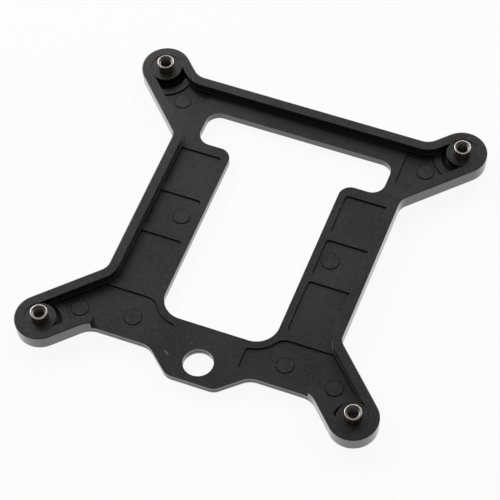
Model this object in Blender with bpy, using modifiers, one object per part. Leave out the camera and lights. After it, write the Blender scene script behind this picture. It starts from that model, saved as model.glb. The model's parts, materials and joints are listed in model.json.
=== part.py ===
"""Plastic backplate for a processor cooler, with four threaded metal inserts.

Metres, +Z up. The origin is the middle of the square of inserts, on the underside.
-Y is the side with the tab. The rimmed face, which meets the board, looks up.
"""
import math

import bmesh
import bpy
from mathutils import Matrix, Vector

# Inserts
HOLE_PITCH = 0.075
SLEEVE_RADIUS = 0.00195
SLEEVE_STAND = 0.0022
SLEEVE_CHAMFER = 0.00018
BORE_RADIUS = 0.00125
MOUTH_RADIUS = 0.00162
HEAD_SIDES = 6
HEAD_FLATS = 0.0050
HEAD_HEIGHT = 0.0016
HEAD_SINK = 0.0003
FIT_GAP = 0.0003
SEAT_RADIUS = (HEAD_FLATS / 2 + FIT_GAP) / math.cos(math.pi / HEAD_SIDES)

# Bosses round the inserts, and the ears round the bosses
BOSS_WALL = 0.00047
BOSS_RADIUS = SEAT_RADIUS + BOSS_WALL
RECESS_MARGIN = 0.0001
BOSS_RECESS_RADIUS = BOSS_RADIUS + RECESS_MARGIN
BOSS_SINK = 0.00015
BOSS_LAP = 0.00015
MOAT_WIDTH = 0.00115
MOAT_DEPTH = 0.0009
MOAT_LEDGE = 0.0001
LAND_WIDTH = 0.00173
LAND_RADIUS = BOSS_RADIUS + MOAT_WIDTH + LAND_WIDTH
RIM_WIDTH = 0.00235
EAR_RADIUS = BOSS_RADIUS - BOSS_LAP + RIM_WIDTH
EAR_SIDES = ((-1, -1, "front_left"), (1, -1, "front_right"), (-1, 1, "rear_left"), (1, 1, "rear_right"))

# Outer outline, at the top of the rim
BODY_HALF_WIDTH = 0.0284
REAR_PAST_INSERTS = 0.00015
REAR_Y = HOLE_PITCH / 2 + REAR_PAST_INSERTS
FRONT_SHORT_OF_INSERTS = 0.0025
FRONT_Y = HOLE_PITCH / 2 - FRONT_SHORT_OF_INSERTS
SIDE_NECK_RADIUS = 0.0035
REAR_NECK_RADIUS = 0.0042
FRONT_NECK_RADIUS = 0.0050
LEG_WIDTH = 0.00175
LEG_REACH = 0.00056
LEG_OVERLAP = 0.0006

# Front tab
TAB_REACH = 0.00565
TAB_TIP_HALF_WIDTH = 0.0058
TAB_ROOT_HALF_WIDTH = 0.0122
TAB_TIP_RADIUS = 0.0034
TAB_ROOT_RADIUS = 0.0045
TAB_HOLE_RADIUS = 0.0035
TAB_HOLE_FORWARD = 0.00027
TAB_HOLE_Y = -FRONT_Y - TAB_HOLE_FORWARD

# Heights above the underside
RIM_TOP = 0.0040
PLATE_TOP = 0.0019
POCKET_DEPTH = 0.00035
PAD_RISE = 0.00015
DRAFT_ANGLE = math.radians(2.0)
OUTER_ROUND = 0.00020
FOOT_ROUND = 0.00020

# Window and its wide rear slot
WINDOW_HALF_WIDTH = 0.0138
FRONT_BAR_WIDTH = 0.00895
WINDOW_FRONT_Y = -FRONT_Y + FRONT_BAR_WIDTH
WINDOW_FRONT_RADIUS = 0.0054
WINDOW_STEP_RADIUS = 0.0029
SLOT_END_WIDTH = 0.0052
SLOT_HALF_WIDTH = BODY_HALF_WIDTH - SLOT_END_WIDTH
REAR_BAR_WIDTH = 0.00715
SLOT_REAR_Y = REAR_Y - REAR_BAR_WIDTH
SLOT_LENGTH = 0.00955
SLOT_FRONT_Y = SLOT_REAR_Y - SLOT_LENGTH
SLOT_RADIUS = 0.0032

# Shallow pockets and the ribs between them
LEDGE = 0.00030
FRAME_WIDTH = 0.0018
SLOT_FRAME_WIDTH = 0.00265
RIB_WIDTH = 0.00195
RIB_PLACES_Y = (0.006325, -0.005675)
FRONT_RIB_WIDTH = 0.00225
POCKET_CORNER = 0.0008
WEB_CORNER_REACH = 0.00112
FRONT_POCKET_BACK = 0.0030
FRONT_POCKET_REAR_Y = WINDOW_FRONT_Y + FRONT_POCKET_BACK
FRONT_POCKET_BEND = 0.0035
TAB_WEB_HALF_WIDTH = 0.00865
EAR_POCKET_X = SLOT_HALF_WIDTH + FRAME_WIDTH
EAR_POCKET_BACK = 0.00255
EAR_POCKET_Y = SLOT_FRONT_Y + EAR_POCKET_BACK
EAR_POCKET_CORNER = 0.0030

# Ejector pads: in the arms, beyond the window's front corners, and inward of the inserts
PAD_RADIUS = 0.00215
ARM_PAD_INSET = 0.0046
FRONT_PAD_INSET = 0.0031
EAR_PAD_INSET = (0.0068, 0.00655)
ARM_PAD_X = WINDOW_HALF_WIDTH + ARM_PAD_INSET
FRONT_PAD_Y = WINDOW_FRONT_Y - FRONT_PAD_INSET
EAR_PAD_X = HOLE_PITCH / 2 - EAR_PAD_INSET[0]
EAR_PAD_Y = HOLE_PITCH / 2 - EAR_PAD_INSET[1]
PAD_PLACES = ((ARM_PAD_X, 0.0), (ARM_PAD_X, FRONT_PAD_Y), (EAR_PAD_X, -EAR_PAD_Y), (EAR_PAD_X, EAR_PAD_Y))

# Facets
ARC_STEP = math.radians(7.5)
HOLE_SIDES = 48
ROUND_STEPS = 2
ROUND_FROM_ANGLE = math.radians(60)
SHARP_FROM_ANGLE = math.radians(30)
THROUGH = 0.0020
WELD = 0.0000001
TURN_WELD = 0.00001

PLASTIC = {"color": (0.040, 0.040, 0.043), "roughness": 0.55, "metallic": 0.0}
METAL = {"color": (0.78, 0.76, 0.72), "roughness": 0.28, "metallic": 1.0}


# Scene

def clear_scene():
    for obj in list(bpy.data.objects):
        bpy.data.objects.remove(obj, do_unlink=True)
    for mesh in list(bpy.data.meshes):
        bpy.data.meshes.remove(mesh)


def new_collection(name):
    collection = bpy.data.collections.new(name)
    bpy.context.scene.collection.children.link(collection)
    return collection


def new_material(name, look):
    material = bpy.data.materials.new(name)
    material.use_nodes = True
    shader = material.node_tree.nodes["Principled BSDF"]
    shader.inputs["Base Color"].default_value = (*look["color"], 1.0)
    shader.inputs["Roughness"].default_value = look["roughness"]
    shader.inputs["Metallic"].default_value = look["metallic"]
    return material


# Outlines

def arc(cx, cy, radius, start, end):
    """Points of an arc, sharp corners of the outline they join."""
    count = max(2, math.ceil(abs(end - start) / ARC_STEP))
    angles = [start + (end - start) * i / count for i in range(count + 1)]
    return [(cx + radius * math.cos(a), cy + radius * math.sin(a), 0.0) for a in angles]


def rounded(corners):
    """Closed outline from corners (x, y, radius), each radius turned into an arc."""
    points = []
    for i, (x, y, radius) in enumerate(corners):
        here = Vector((x, y))
        if radius <= 0.0:
            points.append(here)
            continue
        back = (Vector(corners[i - 1][:2]) - here).normalized()
        ahead = (Vector(corners[(i + 1) % len(corners)][:2]) - here).normalized()
        half = back.angle(ahead) / 2
        centre = here + (back + ahead).normalized() * radius / math.sin(half)
        first = here + back * radius / math.tan(half) - centre
        turn = first.angle_signed(here + ahead * radius / math.tan(half) - centre)
        count = max(2, math.ceil(abs(turn) / ARC_STEP))
        for k in range(count + 1):
            point = centre + Matrix.Rotation(-turn * k / count, 2) @ first
            if not points or (point - points[-1]).length > WELD:
                points.append(point)
    return points


def both_halves(corners):
    """Outline corners of the +X half, front to rear, closed by their mirror image."""
    return corners + [(-x, y, radius) for x, y, radius in reversed(corners)]


def ear_side_corner(x=None, y=None, side=EAR_RADIUS, across=1):
    """Where an ear's side, so far from its diagonal, meets a line of constant x or y.

    The ear is the one in the quadrant of +X and +Y; across is 1 on its rear side and -1 on its
    outer one.
    """
    shift = across * side * math.sqrt(2)
    if x is None:
        x = y - shift
    return x, x + shift


def ear_tip(side):
    """The two corners that make the ear's round end, in the quadrant of +X and +Y."""
    reach = HOLE_PITCH / 2 + side * math.sqrt(2)
    return (reach, HOLE_PITCH / 2), (HOLE_PITCH / 2, reach)


def outer_corners():
    """Corners of the whole outline, +X half."""
    side_x, side_y = ear_side_corner(x=BODY_HALF_WIDTH, across=-1)
    rear_x, rear_y = ear_side_corner(y=REAR_Y)
    front_x, front_y = ear_side_corner(y=FRONT_Y)
    tip_side, tip_end = ear_tip(EAR_RADIUS)
    return [
        (TAB_TIP_HALF_WIDTH, -FRONT_Y - TAB_REACH, TAB_TIP_RADIUS),
        (TAB_ROOT_HALF_WIDTH, -FRONT_Y, TAB_ROOT_RADIUS),
        (front_x, -front_y, FRONT_NECK_RADIUS),
        (tip_end[0], -tip_end[1], EAR_RADIUS),
        (tip_side[0], -tip_side[1], EAR_RADIUS),
        (side_x, -side_y, SIDE_NECK_RADIUS),
        (side_x, side_y, SIDE_NECK_RADIUS),
        (tip_side[0], tip_side[1], EAR_RADIUS),
        (tip_end[0], tip_end[1], EAR_RADIUS),
        (rear_x, rear_y, REAR_NECK_RADIUS),
    ]


def ear_end(side, sign):
    """Where the inner lines of an ear's rim run into its boss, from one line to the other."""
    middle = HOLE_PITCH / 2
    half = math.asin(side / BOSS_RADIUS)
    inward = math.atan2(-sign, -1)
    return arc(middle, sign * middle, BOSS_RADIUS, inward + half, inward - half)


def field_corners(inset):
    """Corners of the sunk field inside the rim, +X half, moved in from the rim by inset."""
    wall = RIM_WIDTH + inset
    side = EAR_RADIUS - wall
    side_x, side_y = ear_side_corner(x=BODY_HALF_WIDTH - wall, side=side, across=-1)
    rear_x, rear_y = ear_side_corner(y=REAR_Y - wall, side=side)
    leg_x, leg_y = ear_side_corner(y=FRONT_Y - LEG_WIDTH, side=side)
    corners = [(leg_x, -leg_y, FRONT_NECK_RADIUS + wall)]
    corners += ear_end(side, -1)
    corners += [(side_x, -side_y, SIDE_NECK_RADIUS + wall), (side_x, side_y, SIDE_NECK_RADIUS + wall)]
    corners += ear_end(side, 1)
    corners += [(rear_x, rear_y, REAR_NECK_RADIUS + wall)]
    return corners


def front_opening_corners():
    """Corners of the gap in the rim between the two legs, running out past the tab."""
    leg_end = ear_side_corner(y=FRONT_Y)[0] - LEG_REACH
    front = -FRONT_Y - TAB_REACH - THROUGH
    rear = -FRONT_Y + LEG_WIDTH + LEG_OVERLAP
    return [(-leg_end, front), (leg_end, front), (leg_end, rear), (-leg_end, rear)]


def window_corners():
    """Corners of the window and its wide rear slot, +X half."""
    return [
        (WINDOW_HALF_WIDTH, WINDOW_FRONT_Y, WINDOW_FRONT_RADIUS),
        (WINDOW_HALF_WIDTH, SLOT_FRONT_Y, WINDOW_STEP_RADIUS),
        (SLOT_HALF_WIDTH, SLOT_FRONT_Y, SLOT_RADIUS),
        (SLOT_HALF_WIDTH, SLOT_REAR_Y, SLOT_RADIUS),
    ]


def moat_corners():
    """Corners of the moat between boss and field, in the quadrant of +X and +Y."""
    side = EAR_RADIUS - RIM_WIDTH - MOAT_LEDGE
    inner_radius = BOSS_RADIUS + MOAT_LEDGE
    outer_radius = BOSS_RADIUS + MOAT_WIDTH
    middle = HOLE_PITCH / 2
    inward = math.radians(225)
    inner = math.asin(side / inner_radius)
    outer = math.asin(side / outer_radius)
    corners = arc(middle, middle, inner_radius, inward - inner, inward + inner)
    corners += arc(middle, middle, outer_radius, inward + outer, inward - outer)
    return corners


def arm_pockets():
    """Front and rear ends of the pockets in an arm, between its ribs."""
    fronts = [y + RIB_WIDTH / 2 for y in RIB_PLACES_Y] + [FRONT_POCKET_REAR_Y + FRONT_RIB_WIDTH]
    rears = [SLOT_FRONT_Y - SLOT_FRAME_WIDTH] + [y - RIB_WIDTH / 2 for y in RIB_PLACES_Y]
    return zip(fronts, rears)


def arm_pocket_corners(front, rear):
    """Corners of a pocket in the +X arm, running out past the rim."""
    inner = WINDOW_HALF_WIDTH + FRAME_WIDTH
    outer = BODY_HALF_WIDTH
    return [
        (inner, front, POCKET_CORNER),
        (outer, front, 0.0),
        (outer, rear, 0.0),
        (inner, rear, POCKET_CORNER),
    ]


def rear_ear_pocket_corners():
    """Corners of the pocket in the rear ear on +X, running out past the rim."""
    reach = HOLE_PITCH / 2 + EAR_RADIUS
    return [
        (EAR_POCKET_X, EAR_POCKET_Y, EAR_POCKET_CORNER),
        (reach, EAR_POCKET_Y, 0.0),
        (reach, reach, 0.0),
        (EAR_POCKET_X, reach, 0.0),
    ]


def front_pocket_corners():
    """Corners of the front pocket on +X, which follows the window's corner and fills the ear."""
    reach = HOLE_PITCH / 2 + EAR_RADIUS
    cx = WINDOW_HALF_WIDTH - WINDOW_FRONT_RADIUS
    cy = WINDOW_FRONT_Y + WINDOW_FRONT_RADIUS
    radius = WINDOW_FRONT_RADIUS + FRAME_WIDTH
    bend_y = FRONT_POCKET_REAR_Y - FRONT_POCKET_BEND
    bend_x = cx + math.sqrt((radius + FRONT_POCKET_BEND) ** 2 - (cy - bend_y) ** 2)
    meet = math.atan2(bend_y - cy, bend_x - cx)
    web_angle = -math.acos((TAB_WEB_HALF_WIDTH - cx) / radius)
    start = web_angle + WEB_CORNER_REACH / radius
    corners = [(TAB_WEB_HALF_WIDTH, cy + radius * math.sin(web_angle), POCKET_CORNER)]
    corners += arc(cx, cy, radius, start, meet)
    corners += arc(bend_x, bend_y, FRONT_POCKET_BEND, meet + math.pi, math.pi / 2)[1:]
    corners += [(reach, FRONT_POCKET_REAR_Y, 0.0), (reach, -reach, 0.0), (TAB_WEB_HALF_WIDTH, -reach, 0.0)]
    return corners


# Solids

def is_level(face):
    """Whether a face lies at one height."""
    heights = [vert.co.z for vert in face.verts]
    return max(heights) - min(heights) < WELD


def prism(name, outlines, low, high, collection):
    """Flat outlines filled and given thickness, as one mesh between two heights."""
    curve = bpy.data.curves.new(name, "CURVE")
    curve.dimensions = "2D"
    curve.fill_mode = "BOTH"
    curve.extrude = (high - low) / 2
    for points in outlines:
        spline = curve.splines.new("POLY")
        spline.points.add(len(points) - 1)
        for point, place in zip(spline.points, points):
            point.co = (place[0], place[1], 0.0, 1.0)
        spline.use_cyclic_u = True
    drawn = bpy.data.objects.new(name + "_outline", curve)
    drawn.location.z = (high + low) / 2
    bpy.context.scene.collection.objects.link(drawn)
    bpy.context.view_layer.update()
    mesh = bpy.data.meshes.new_from_object(drawn.evaluated_get(bpy.context.evaluated_depsgraph_get()))
    edit = bmesh.new()
    edit.from_mesh(mesh)
    bmesh.ops.remove_doubles(edit, verts=edit.verts, dist=WELD)
    bmesh.ops.recalc_face_normals(edit, faces=edit.faces)
    bmesh.ops.dissolve_faces(edit, faces=[face for face in edit.faces if is_level(face)])
    edit.to_mesh(mesh)
    edit.free()
    solid = bpy.data.objects.new(name, mesh)
    solid.matrix_world = drawn.matrix_world.copy()
    collection.objects.link(solid)
    bpy.data.objects.remove(drawn, do_unlink=True)
    bpy.data.curves.remove(curve)
    return solid


def add_draft(solid, angle):
    """Moves the solid's lower edge inward, square to its walls, as mould draft leaves it."""
    edit = bmesh.new()
    edit.from_mesh(solid.data)
    lowest = min(v.co.z for v in edit.verts)
    highest = max(v.co.z for v in edit.verts)
    shift = (highest - lowest) * math.tan(angle)
    moves = {}
    for vert in edit.verts:
        walls = [face.normal for face in vert.link_faces if not is_level(face)]
        if vert.co.z > lowest + shift or not walls:
            continue
        way = sum(walls, Vector()).normalized()
        moves[vert] = way * shift / way.dot(walls[0])
    for vert, move in moves.items():
        vert.co -= move
    edit.to_mesh(solid.data)
    edit.free()


def cylinders(name, places, radius, low, high, collection, sides=HOLE_SIDES, spin=0.0):
    """Upright cylinders of one size as one mesh object."""
    edit = bmesh.new()
    for x, y in places:
        place = Matrix.Translation((x, y, (low + high) / 2)) @ Matrix.Rotation(spin, 4, "Z")
        bmesh.ops.create_cone(edit, cap_ends=True, segments=sides, radius1=radius, radius2=radius,
                              depth=high - low, matrix=place)
    mesh = bpy.data.meshes.new(name)
    edit.to_mesh(mesh)
    edit.free()
    solid = bpy.data.objects.new(name, mesh)
    collection.objects.link(solid)
    return solid


def round_edges(solid, width):
    bevel = solid.modifiers.new("edges", "BEVEL")
    bevel.width = width
    bevel.segments = ROUND_STEPS
    bevel.limit_method = "ANGLE"
    bevel.angle_limit = ROUND_FROM_ANGLE
    bevel.use_clamp_overlap = True


def combine(solid, tool, operation):
    boolean = solid.modifiers.new(tool.name, "BOOLEAN")
    boolean.operation = operation
    boolean.solver = "EXACT"
    boolean.object = tool


def hide_tools(collection):
    for tool in collection.objects:
        tool.hide_render = True
        tool.display_type = "WIRE"


def shade(solid):
    solid.data.shade_smooth()
    solid.data.set_sharp_from_angle(angle=SHARP_FROM_ANGLE)


# Pieces

def four_corners():
    half = HOLE_PITCH / 2
    return [(sx * half, sy * half) for sx, sy, _ in EAR_SIDES]


def quadrants(corners):
    """The same outline in all four quadrants."""
    copies = []
    for sx, sy, _ in EAR_SIDES:
        copies.append([(sx * x, sy * y) for x, y, _ in corners])
    return copies


def left_and_right(corners):
    points = rounded(corners)
    return [points, [(-x, y) for x, y in points]]


def pocket_tool(tools):
    """Every shallow pocket, held inside the rim and off the round lands in the ears."""
    outlines = left_and_right(front_pocket_corners()) + left_and_right(rear_ear_pocket_corners())
    for front, rear in arm_pockets():
        outlines += left_and_right(arm_pocket_corners(front, rear))
    floor = PLATE_TOP - POCKET_DEPTH
    pockets = prism("pockets", outlines, floor, RIM_TOP, tools)
    inside = prism("inside_of_ledge", [rounded(both_halves(field_corners(LEDGE)))],
                   floor - THROUGH, RIM_TOP + THROUGH, tools)
    lands = cylinders("ear_lands", four_corners(), LAND_RADIUS, floor - THROUGH, RIM_TOP + THROUGH, tools)
    combine(pockets, inside, "INTERSECT")
    combine(pockets, lands, "DIFFERENCE")
    return pockets


def make_backplate(parts, tools, material):
    over = RIM_TOP + THROUGH
    plate = prism("backplate", [rounded(both_halves(outer_corners()))], 0.0, RIM_TOP, parts)
    add_draft(plate, DRAFT_ANGLE)
    round_edges(plate, OUTER_ROUND)

    field = prism("field", [rounded(both_halves(field_corners(0.0)))], PLATE_TOP, over, tools)
    round_edges(field, FOOT_ROUND)
    combine(plate, field, "DIFFERENCE")

    opening = prism("front_opening", [front_opening_corners()], PLATE_TOP, over, tools)
    round_edges(opening, FOOT_ROUND)
    combine(plate, opening, "DIFFERENCE")

    window = prism("window", [rounded(both_halves(window_corners()))], -THROUGH, over, tools)
    combine(plate, window, "DIFFERENCE")
    tab_hole = cylinders("tab_hole", [(0.0, TAB_HOLE_Y)], TAB_HOLE_RADIUS, -THROUGH, over, tools)
    combine(plate, tab_hole, "DIFFERENCE")
    combine(plate, pocket_tool(tools), "DIFFERENCE")

    pad_places = [(side * x, y) for x, y in PAD_PLACES for side in (-1, 1)]
    pocket_floor = PLATE_TOP - POCKET_DEPTH
    combine(plate, cylinders("ejector_pads", pad_places, PAD_RADIUS, pocket_floor / 2,
                             pocket_floor + PAD_RISE, tools), "UNION")

    moats = prism("moats", quadrants(moat_corners()), PLATE_TOP - MOAT_DEPTH, over, tools)
    combine(plate, moats, "DIFFERENCE")
    combine(plate, cylinders("boss_recesses", four_corners(), BOSS_RECESS_RADIUS, RIM_TOP - BOSS_SINK,
                             over, tools), "DIFFERENCE")
    combine(plate, cylinders("sleeve_holes", four_corners(), SLEEVE_RADIUS + FIT_GAP, -THROUGH, over,
                             tools), "DIFFERENCE")
    head_top = HEAD_SINK + HEAD_HEIGHT + FIT_GAP
    combine(plate, cylinders("head_seats", four_corners(), SEAT_RADIUS, -THROUGH, head_top, tools,
                             sides=HEAD_SIDES), "DIFFERENCE")
    plate.data.materials.append(material)
    shade(plate)
    return plate


def turned(name, profile, collection):
    """A solid turned about Z from (radius, height) points, run from top to bottom."""
    mesh = bpy.data.meshes.new(name)
    mesh.from_pydata([(r, 0.0, z) for r, z in profile], [(i, i + 1) for i in range(len(profile) - 1)], [])
    solid = bpy.data.objects.new(name, mesh)
    screw = solid.modifiers.new("turn", "SCREW")
    screw.steps = HOLE_SIDES
    screw.render_steps = HOLE_SIDES
    screw.use_merge_vertices = True
    screw.merge_threshold = TURN_WELD
    collection.objects.link(solid)
    return solid


def make_insert_mesh(tools):
    """Sleeve with a hexagonal head, a bore for a screw and a chamfered mouth."""
    top = RIM_TOP + SLEEVE_STAND
    head_top = HEAD_SINK + HEAD_HEIGHT
    head_radius = HEAD_FLATS / 2 / math.cos(math.pi / HEAD_SIDES)
    head = cylinders("insert_head", [(0.0, 0.0)], head_radius, HEAD_SINK, head_top, tools,
                     sides=HEAD_SIDES)
    sleeve = turned("insert_sleeve", [
        (0.0, top),
        (SLEEVE_RADIUS - SLEEVE_CHAMFER, top),
        (SLEEVE_RADIUS, top - SLEEVE_CHAMFER),
        (SLEEVE_RADIUS, (HEAD_SINK + head_top) / 2),
        (0.0, (HEAD_SINK + head_top) / 2),
    ], tools)
    mouth = MOUTH_RADIUS - BORE_RADIUS
    bore = turned("insert_bore", [
        (0.0, top + THROUGH),
        (MOUTH_RADIUS + THROUGH, top + THROUGH),
        (BORE_RADIUS, top - mouth),
        (BORE_RADIUS, HEAD_SINK + mouth),
        (MOUTH_RADIUS + THROUGH, HEAD_SINK - THROUGH),
        (0.0, HEAD_SINK - THROUGH),
    ], tools)
    combine(head, sleeve, "UNION")
    combine(head, bore, "DIFFERENCE")
    bpy.context.view_layer.update()
    mesh = bpy.data.meshes.new_from_object(head.evaluated_get(bpy.context.evaluated_depsgraph_get()))
    mesh.name = "insert"
    return mesh


def make_inserts(parts, tools, material, frame):
    mesh = make_insert_mesh(tools)
    mesh.materials.clear()
    mesh.materials.append(material)
    mesh.shade_smooth()
    mesh.set_sharp_from_angle(angle=SHARP_FROM_ANGLE)
    for sx, sy, place in EAR_SIDES:
        insert = bpy.data.objects.new("insert_" + place, mesh)
        insert.location = (sx * HOLE_PITCH / 2, sy * HOLE_PITCH / 2, 0.0)
        insert.parent = frame
        parts.objects.link(insert)


def main():
    clear_scene()
    parts = new_collection("cooler_backplate")
    tools = new_collection("cutters")
    frame = bpy.data.objects.new("backplate_frame", None)
    parts.objects.link(frame)
    plate = make_backplate(parts, tools, new_material("black_plastic", PLASTIC))
    plate.parent = frame
    make_inserts(parts, tools, new_material("plated_metal", METAL), frame)
    hide_tools(tools)


main()
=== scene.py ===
"""The backplate as it looks: moulded plastic plate, threaded metal inserts, table, lamps, camera.

Metres, +Z up. The origin is the middle of the square of inserts, on the underside.
-Y is the side with the tab. Angles round the object run from +X towards +Y.
"""
import json
import math

import bmesh
import bpy
from mathutils import Matrix, Vector
from mathutils.geometry import delaunay_2d_cdt

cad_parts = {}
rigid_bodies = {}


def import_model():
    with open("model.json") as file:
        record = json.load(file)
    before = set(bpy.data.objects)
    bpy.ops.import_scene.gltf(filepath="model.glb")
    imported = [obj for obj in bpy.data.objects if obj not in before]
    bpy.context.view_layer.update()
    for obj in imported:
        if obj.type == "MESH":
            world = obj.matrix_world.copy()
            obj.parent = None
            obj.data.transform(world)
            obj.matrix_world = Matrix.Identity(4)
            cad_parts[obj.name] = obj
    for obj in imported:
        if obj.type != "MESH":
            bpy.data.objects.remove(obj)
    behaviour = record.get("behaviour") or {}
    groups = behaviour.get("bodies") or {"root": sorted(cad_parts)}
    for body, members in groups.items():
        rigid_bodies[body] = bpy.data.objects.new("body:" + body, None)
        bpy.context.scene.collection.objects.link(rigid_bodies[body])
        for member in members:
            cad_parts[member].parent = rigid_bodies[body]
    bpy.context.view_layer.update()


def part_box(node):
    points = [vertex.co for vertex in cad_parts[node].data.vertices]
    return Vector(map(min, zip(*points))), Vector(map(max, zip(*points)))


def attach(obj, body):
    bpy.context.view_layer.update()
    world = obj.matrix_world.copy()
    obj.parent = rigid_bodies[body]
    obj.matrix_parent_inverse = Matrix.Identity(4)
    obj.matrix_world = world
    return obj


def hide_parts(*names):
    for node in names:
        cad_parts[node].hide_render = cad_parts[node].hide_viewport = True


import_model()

# Camera: its turn in degrees, its lens and sensor in millimetres
CAMERA_PLACE = (0.121777, -0.268886, 0.449664)
CAMERA_TURN = (33.04642, 2.19981, 21.26314)
CAMERA_LENS = 167.631
CAMERA_SENSOR = 36.0

# Table and room
TABLE_SIZE = 6.0
TABLE_DROP = 0.00002
TABLE_WHITE = 0.97
TABLE_GLOW_SHARE = 0.92
ROOM_LEVEL = 0.16
WHITE = (1.0, 1.0, 1.0, 1.0)

# Square lamps that face the origin: name, azimuth and elevation in degrees, power in watts
LAMP_DISTANCE = 0.9
LAMP_SIZE = 0.60
LAMPS = (
    ("lamp_rear", 90.0, 20.0, 2.5),
    ("lamp_rear_right", 75.0, 25.0, 2.6),
    ("lamp_rear_left", 145.0, 30.0, 2.9),
    ("lamp_left", 160.0, 15.0, 5.0),
)

# Inserts: a sleeve with a threaded bore, on a hexagonal head
HOLE_PITCH = 0.075
SLEEVE_RADIUS = 0.00195
SLEEVE_ROUND = 0.00014
SLEEVE_ROUND_STEPS = 5
MOUTH_RADIUS = 0.00170
THREAD_MINOR = 0.00123
THREAD_MAJOR = 0.00150
THREAD_PITCH = 0.0005
THREAD_FLAT = THREAD_PITCH / 8
THREAD_FLANK = THREAD_PITCH * 5 / 16
THREAD_ROWS = 10
HEAD_SIDES = 6
HEAD_HALF_ANGLE = math.pi / HEAD_SIDES
HEAD_START_ANGLE = math.radians(30.0)
HEAD_FLATS = 0.0050
HEAD_CORNER_RADIUS = HEAD_FLATS / 2 / math.cos(HEAD_HALF_ANGLE)
HEAD_HEIGHT = 0.0016
HEAD_CHAMFER_REACH = 0.00045
HEAD_CHAMFER_DROP = 0.00026
HEAD_CHAMFER_STEPS = 6
HEAD_SINK = 0.0003
FIT_GAP = 0.0003
SLEEVE_GAP = 0.00006
SEAT_RADIUS = (HEAD_FLATS / 2 + FIT_GAP) / math.cos(HEAD_HALF_ANGLE)
INSERT_SIDES = 72
INSERT_SMOOTH_ANGLE = math.radians(28.0)
INSERT_TURNS = {"front_left": 1, "front_right": 4, "rear_left": 2, "rear_right": 5}
ROW_GAP = 0.00003
WIDE_ROW_GAP = 3 * ROW_GAP

# Bosses round the inserts, and the ears round the bosses
BOSS_WALL = 0.00047
BOSS_RADIUS = SEAT_RADIUS + BOSS_WALL
RECESS_MARGIN = 0.0001
BOSS_RECESS_RADIUS = BOSS_RADIUS + RECESS_MARGIN
BOSS_SINK = 0.00015
BOSS_LAP = 0.00015
MOAT_WIDTH = 0.00115
MOAT_DEPTH = 0.0009
MOAT_LEDGE = 0.0001
LAND_WIDTH = 0.00173
LAND_RADIUS = BOSS_RADIUS + MOAT_WIDTH + LAND_WIDTH
RIM_WIDTH = 0.00234
EAR_RADIUS = BOSS_RADIUS - BOSS_LAP + RIM_WIDTH
EAR_SIGNS = ((-1, -1), (1, -1), (-1, 1), (1, 1))
EAR_INWARD_ANGLE = math.radians(225.0)

# Outer outline, at the top of the rim
BODY_HALF_WIDTH = 0.0284
REAR_PAST_INSERTS = 0.00015
REAR_Y = HOLE_PITCH / 2 + REAR_PAST_INSERTS
FRONT_SHORT_OF_INSERTS = 0.0025
FRONT_Y = HOLE_PITCH / 2 - FRONT_SHORT_OF_INSERTS
SIDE_NECK_RADIUS = 0.0035
REAR_NECK_RADIUS = 0.0042
FRONT_NECK_RADIUS = 0.0050
LEG_WIDTH = 0.00175
LEG_REACH = 0.00056
LEG_OVERLAP = 0.0006

# Front tab
TAB_REACH = 0.00565
TAB_TIP_HALF_WIDTH = 0.0058
TAB_ROOT_HALF_WIDTH = 0.0122
TAB_TIP_RADIUS = 0.0034
TAB_ROOT_RADIUS = 0.0045
TAB_HOLE_RADIUS = 0.0035
TAB_HOLE_FORWARD = 0.00027
TAB_HOLE_Y = -FRONT_Y - TAB_HOLE_FORWARD

# Heights above the underside, and how far a cut runs past the faces it opens
RIM_TOP = 0.0040
PLATE_TOP = 0.0019
POCKET_DEPTH = 0.00035
POCKET_FLOOR = PLATE_TOP - POCKET_DEPTH
FLOOR_ROOT = POCKET_FLOOR / 2
PAD_RISE = 0.00015
DRAFT_ANGLE = math.radians(2.0)
OUTER_ROUND = 0.00020
FOOT_ROUND = 0.00020
THROUGH = 0.0020
OVER = RIM_TOP + THROUGH

# Window and its wide rear slot
WINDOW_HALF_WIDTH = 0.0138
FRONT_BAR_WIDTH = 0.00895
WINDOW_FRONT_Y = -FRONT_Y + FRONT_BAR_WIDTH
WINDOW_FRONT_RADIUS = 0.0054
WINDOW_STEP_RADIUS = 0.0029
SLOT_END_WIDTH = 0.0052
SLOT_HALF_WIDTH = BODY_HALF_WIDTH - SLOT_END_WIDTH
REAR_BAR_WIDTH = 0.00715
SLOT_REAR_Y = REAR_Y - REAR_BAR_WIDTH
SLOT_LENGTH = 0.00955
SLOT_FRONT_Y = SLOT_REAR_Y - SLOT_LENGTH
SLOT_RADIUS = 0.0032

# Shallow pockets and the ribs between them
LEDGE = 0.00030
LEG_LAP_PER_INSET = 4
FRAME_WIDTH = 0.0018
SLOT_FRAME_WIDTH = 0.00265
RIB_WIDTH = 0.00195
RIB_PLACES_Y = (0.006325, -0.005675)
FRONT_RIB_WIDTH = 0.00225
POCKET_CORNER = 0.0008
WEB_CORNER_REACH = 0.00112
FRONT_POCKET_BACK = 0.0030
FRONT_POCKET_REAR_Y = WINDOW_FRONT_Y + FRONT_POCKET_BACK
FRONT_POCKET_BEND = 0.0035
TAB_WEB_HALF_WIDTH = 0.00865
EAR_POCKET_X = SLOT_HALF_WIDTH + FRAME_WIDTH
EAR_POCKET_BACK = 0.00255
EAR_POCKET_Y = SLOT_FRONT_Y + EAR_POCKET_BACK
EAR_POCKET_CORNER = 0.0030
EAR_POCKET_REACH = HOLE_PITCH / 2 + EAR_RADIUS

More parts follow.
